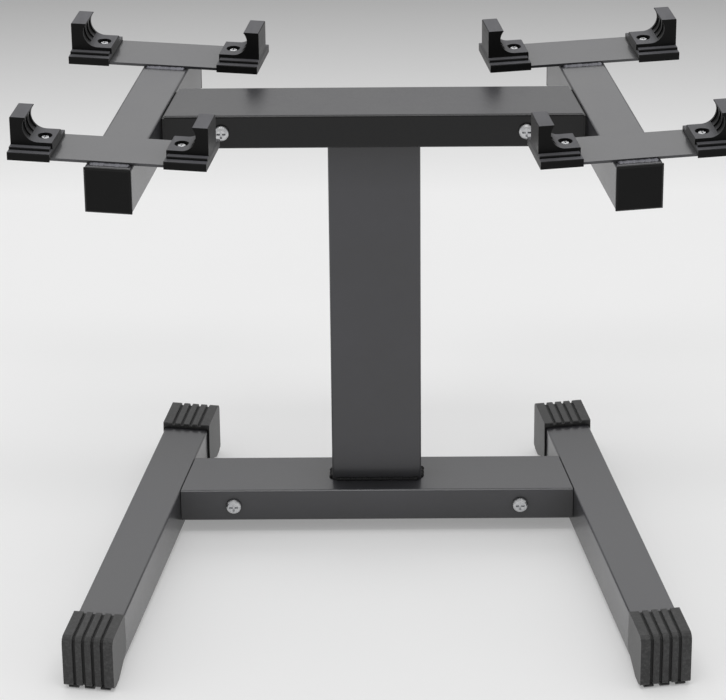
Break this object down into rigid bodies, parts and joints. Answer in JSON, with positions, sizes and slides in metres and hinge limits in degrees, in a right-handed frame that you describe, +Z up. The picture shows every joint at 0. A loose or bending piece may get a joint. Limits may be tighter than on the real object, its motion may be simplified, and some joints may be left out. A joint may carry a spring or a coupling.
{
  "type": "adjustable dumbbell stand",
  "caption": "Floor stand with splayed legs, a flat column and splayed arms that carry strip plates with moulded end clips for a pair of adjustable dumbbells.",
  "frame": {"origin": "on the floor, under the centre of the stand's bounding box", "axes": "+Z up, +X to the right as seen by a user who stands at -Y, +Y to the rear"},
  "size_m": [0.7616, 0.5588, 0.551],
  "materials": {
    "frame_coat": "charcoal semi-gloss powder coat",
    "clip_plastic": "satin black moulded plastic",
    "plug_plastic": "satin black moulded plastic",
    "foot_rubber": "black moulded rubber",
    "zinc": "bright zinc plate"
  },
  "bodies": {
    "root": {"base_crossbeam": "frame_coat", "column": "frame_coat", "front_left_arm_plug": "plug_plastic", "front_left_cradle_plate": "frame_coat", "front_left_foot_cap": "foot_rubber", "front_left_inner_clip": "clip_plastic", "front_left_inner_clip_nut": "zinc", "front_left_inner_clip_screw": "zinc", "front_left_outer_clip": "clip_plastic", "front_left_outer_clip_nut": "zinc", "front_left_outer_clip_screw": "zinc", "front_right_arm_plug": "plug_plastic", "front_right_cradle_plate": "frame_coat", "front_right_foot_cap": "foot_rubber", "front_right_inner_clip": "clip_plastic", "front_right_inner_clip_nut": "zinc", "front_right_inner_clip_screw": "zinc", "front_right_outer_clip": "clip_plastic", "front_right_outer_clip_nut": "zinc", "front_right_outer_clip_screw": "zinc", "left_arm": "frame_coat", "left_arm_socket": "frame_coat", "left_base_bolt": "zinc", "left_base_nut": "zinc", "left_leg": "frame_coat", "left_leg_socket": "frame_coat", "left_top_bolt": "zinc", "left_top_nut": "zinc", "rear_left_arm_plug": "plug_plastic", "rear_left_cradle_plate": "frame_coat", "rear_left_foot_cap": "foot_rubber", "rear_left_inner_clip": "clip_plastic", "rear_left_inner_clip_nut": "zinc", "rear_left_inner_clip_screw": "zinc", "rear_left_outer_clip": "clip_plastic", "rear_left_outer_clip_nut": "zinc", "rear_left_outer_clip_screw": "zinc", "rear_right_arm_plug": "plug_plastic", "rear_right_cradle_plate": "frame_coat", "rear_right_foot_cap": "foot_rubber", "rear_right_inner_clip": "clip_plastic", "rear_right_inner_clip_nut": "zinc", "rear_right_inner_clip_screw": "zinc", "rear_right_outer_clip": "clip_plastic", "rear_right_outer_clip_nut": "zinc", "rear_right_outer_clip_screw": "zinc", "right_arm": "frame_coat", "right_arm_socket": "frame_coat", "right_base_bolt": "zinc", "right_base_nut": "zinc", "right_leg": "frame_coat", "right_leg_socket": "frame_coat", "right_top_bolt": "zinc", "right_top_nut": "zinc", "top_crossbeam": "frame_coat"}
  },
  "joints": []
}
